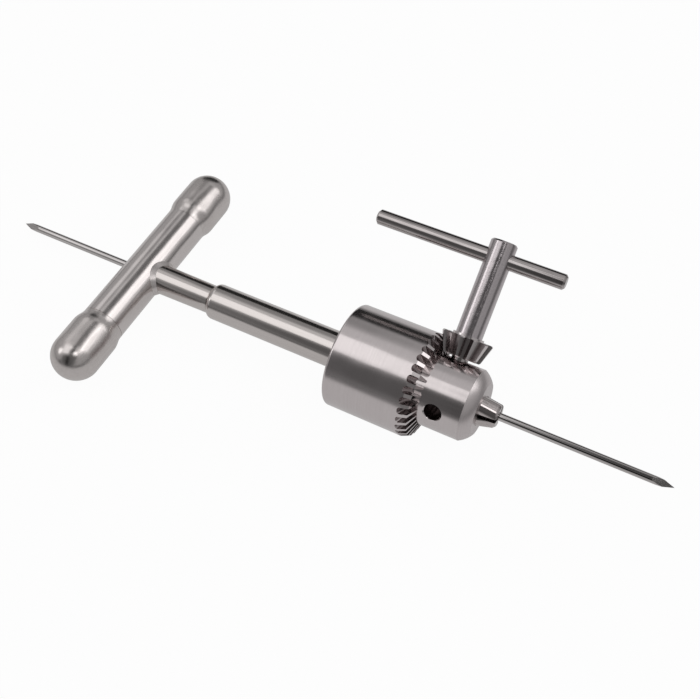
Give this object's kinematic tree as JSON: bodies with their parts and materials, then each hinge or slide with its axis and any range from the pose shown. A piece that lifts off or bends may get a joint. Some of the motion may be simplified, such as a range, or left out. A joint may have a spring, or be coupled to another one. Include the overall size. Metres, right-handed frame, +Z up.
{
  "type": "orthopedic hand drill",
  "caption": "T-handled orthopedic hand drill with a hollow shaft, a keyed jaw chuck gripping a double-pointed bone wire, and a bevel-pinion chuck key with a sliding tommy bar.",
  "frame": {"origin": "on the drill axis, in the plane of the jaw tips", "axes": "+X along the drill axis to the front (the way the wire drills), +Y along the handle bar, +Z up from the handle's plane, on the key's side"},
  "size_m": [0.2254, 0.09, 0.0475],
  "materials": {
    "polished_tube": "polished",
    "weld_bead": "ground weld",
    "inner_steel": "plain turned",
    "satin_chuck": "satin turned",
    "ground_jaw": "ground",
    "wire_steel": "drawn and polished",
    "key_steel": "matte blasted",
    "gear_steel": "cut and deburred",
    "pin_steel": "polished"
  },
  "bodies": {
    "drill": {"handle_bar": "polished_tube", "end_cap_near": "polished_tube", "end_cap_far": "polished_tube", "stem_tube": "polished_tube", "handle_weld": "weld_bead", "guide_tube": "inner_steel", "barrel_tube": "polished_tube", "chuck_spindle": "inner_steel", "chuck_body": "satin_chuck"},
    "sleeve": {"chuck_sleeve": "satin_chuck", "nut_half_1": "inner_steel", "nut_half_2": "inner_steel"},
    "jaw_1": {"chuck_jaw_1": "ground_jaw"},
    "jaw_2": {"chuck_jaw_2": "ground_jaw"},
    "jaw_3": {"chuck_jaw_3": "ground_jaw"},
    "wire": {"bone_wire": "wire_steel"},
    "key_pilot": {"key_pilot_pin": "pin_steel"},
    "key": {"key_shaft": "key_steel", "key_pinion": "gear_steel"},
    "tommy": {"tommy_bar": "pin_steel"}
  },
  "joints": [
    {"name": "sleeve_spin", "type": "hinge", "parent": "drill", "child": "sleeve", "pos_m": [0, 0, 0], "axis": [1, 0, 0], "range_deg": [0, 1670]},
    {"name": "jaw_1_slide", "type": "slide", "parent": "drill", "child": "jaw_1", "axis": [-0.9686, -0.0282, 0.2471], "range_m": [0, 0.0072]},
    {"name": "jaw_2_slide", "type": "slide", "parent": "drill", "child": "jaw_2", "axis": [-0.9686, -0.1999, -0.1479], "range_m": [0, 0.0072]},
    {"name": "jaw_3_slide", "type": "slide", "parent": "drill", "child": "jaw_3", "axis": [-0.9686, 0.2281, -0.0992], "range_m": [0, 0.0072]},
    {"name": "wire_slide", "type": "slide", "parent": "drill", "child": "wire", "axis": [1, 0, 0], "range_m": [-0.05, 0.12]},
    {"name": "key_lift", "type": "slide", "parent": "drill", "child": "key_pilot", "axis": [0, 0.8039, 0.5948], "range_m": [0, 0.025]},
    {"name": "key_turn", "type": "hinge", "parent": "key_pilot", "child": "key", "pos_m": [-0.0168, 0, 0], "axis": [0, 0.8039, 0.5948], "range_deg": [0, 4175]},
    {"name": "tommy_slide", "type": "slide", "parent": "key", "child": "tommy", "axis": [1, 0, 0], "range_m": [-0.016, 0.034]}
  ],
  "couplings": [
    {"joint": "jaw_1_slide", "follows": "sleeve_spin", "m_per_rad": 0.00024648},
    {"joint": "jaw_2_slide", "follows": "sleeve_spin", "m_per_rad": 0.00024648},
    {"joint": "jaw_3_slide", "follows": "sleeve_spin", "m_per_rad": 0.00024648},
    {"joint": "key_turn", "follows": "sleeve_spin", "ratio": 2.5}
  ]
}
